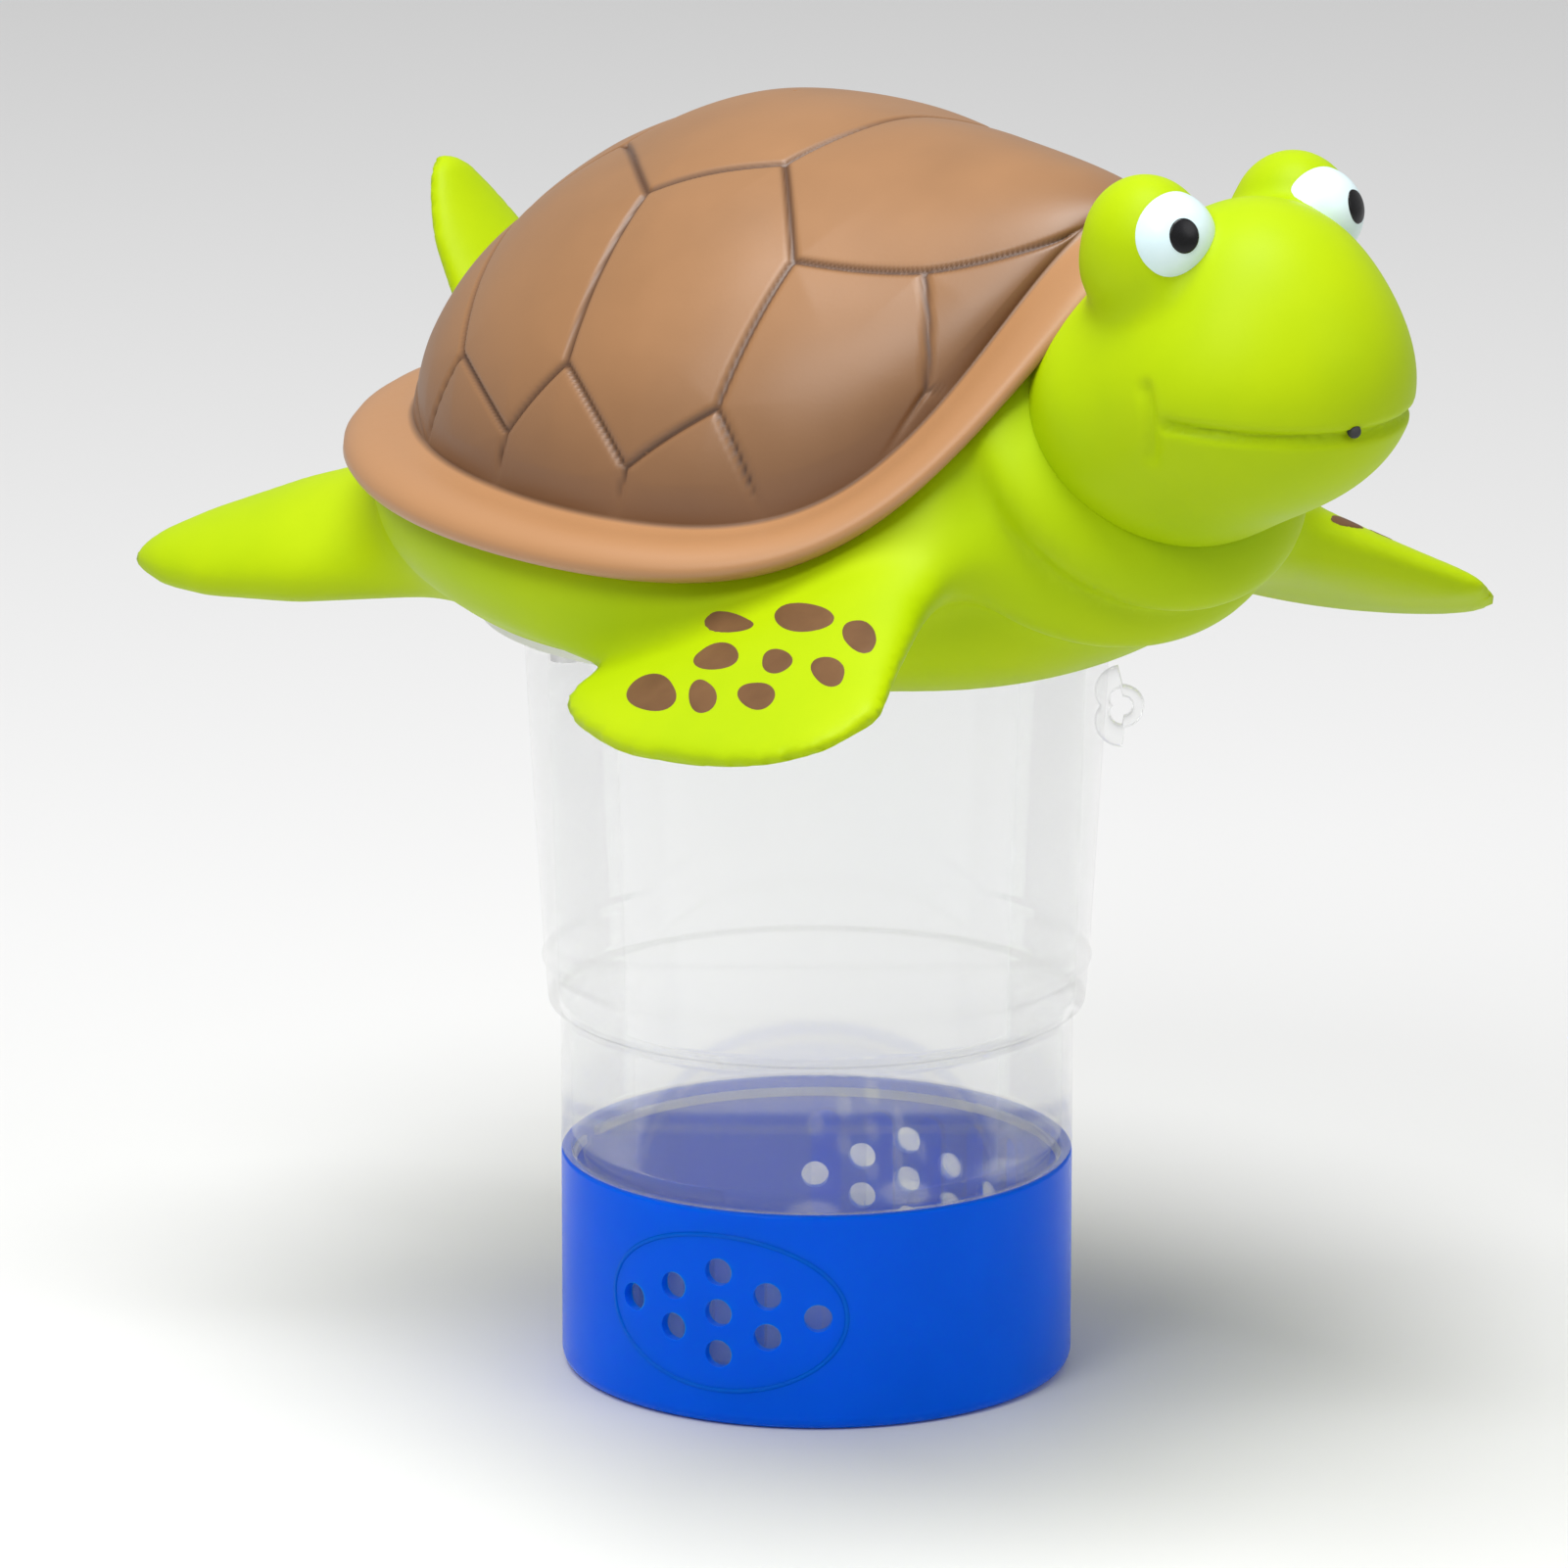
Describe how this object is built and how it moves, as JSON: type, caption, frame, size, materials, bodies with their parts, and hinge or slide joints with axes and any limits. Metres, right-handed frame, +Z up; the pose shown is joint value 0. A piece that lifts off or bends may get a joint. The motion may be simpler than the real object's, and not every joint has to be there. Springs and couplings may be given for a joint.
{
  "type": "floating chlorine dispenser",
  "caption": "Floating pool chlorine tablet dispenser: a turtle-shaped float screwed onto a clear canister with a turning vent cup.",
  "frame": {"origin": "centre of the flat base that the dispenser stands on", "axes": "+Z up along the canister's axis, -Y the way the turtle faces, -X its right side"},
  "size_m": [0.1961, 0.3089, 0.258],
  "materials": {
    "clear_plastic": "gloss",
    "blue_plastic": "gloss",
    "white_plastic": "satin",
    "green_vinyl": "satin",
    "brown_vinyl": "satin",
    "eye_white": "satin",
    "pupil_black": "gloss",
    "seal_rubber": "matte",
    "steel": "satin",
    "foam": "matte"
  },
  "bodies": {
    "canister": {"canister_tube": "clear_plastic", "sieve_basket": "clear_plastic"},
    "vent_cup": {"vent_cup": "blue_plastic", "cup_retaining_ring": "white_plastic", "ballast_ring": "steel", "base_cover": "blue_plastic", "base_screws": "steel"},
    "mouth_seal": {"mouth_gasket": "seal_rubber"},
    "float": {"screw_cap": "white_plastic", "belly_gasket": "seal_rubber", "clamp_ring": "white_plastic", "clamp_screws": "steel", "air_plug": "seal_rubber", "turtle_body": "green_vinyl", "carapace": "brown_vinyl", "foam_core": "foam", "eye_left": "eye_white", "eye_right": "eye_white", "pupil_left": "pupil_black", "pupil_right": "pupil_black", "mouth_plug": "seal_rubber"}
  },
  "joints": [
    {"name": "vent_turn", "type": "hinge", "parent": "canister", "child": "vent_cup", "pos_m": [0, 0, 0.02], "axis": [0, 0, 1], "range_deg": [-7, 60]},
    {"name": "cap_rise", "type": "slide", "parent": "canister", "child": "mouth_seal", "axis": [0, 0, 1], "range_m": [0, 0.012]},
    {"name": "cap_turn", "type": "hinge", "parent": "mouth_seal", "child": "float", "pos_m": [0, 0, 0.17], "axis": [0, 0, 1], "range_deg": [0, 540]}
  ],
  "couplings": [
    {"joint": "cap_rise", "follows": "cap_turn", "m_per_rad": 0.0012732}
  ]
}
